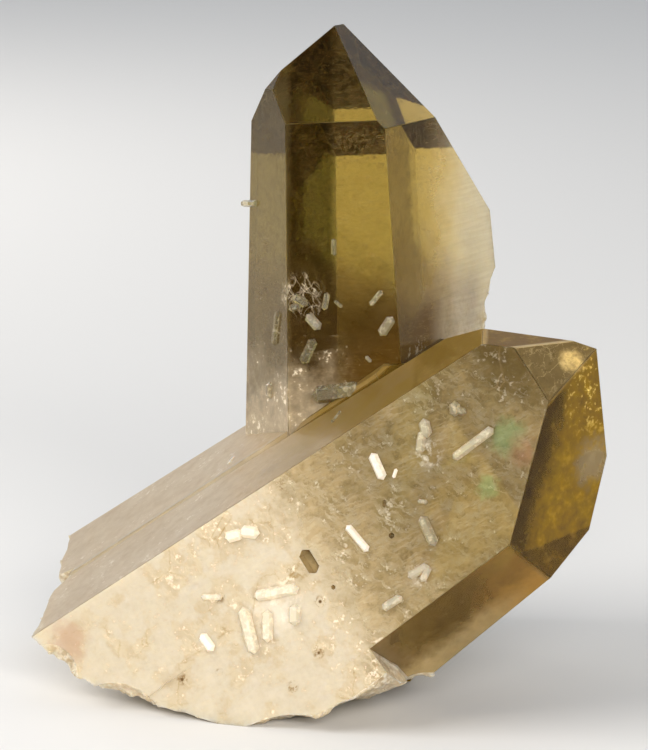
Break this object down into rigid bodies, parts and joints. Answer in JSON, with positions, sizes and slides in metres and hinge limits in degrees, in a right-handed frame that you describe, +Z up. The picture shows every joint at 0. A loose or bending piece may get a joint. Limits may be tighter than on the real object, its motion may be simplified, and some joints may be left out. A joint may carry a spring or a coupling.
{
  "type": "citrine crystal",
  "caption": "Clear smoky citrine: a tall pointed six-sided quartz crystal and a stout leaning one grown together on a broken milky root, with small crystals on their faces.",
  "frame": {"origin": "the middle of the specimen's box, at the height of the table that it rests on", "axes": "+Z up, near the tall crystal's long axis; +X to the right in the picture, where the leaning crystal points; +Y away from the viewer"},
  "size_m": [0.0734, 0.0568, 0.0845],
  "materials": {
    "smoky_citrine": "clear quartz as grown: glassy flat faces, milky veils in the root, rough shell-shaped breaks below"
  },
  "bodies": {
    "root": {"citrine_crystals": "smoky_citrine"}
  },
  "joints": []
}
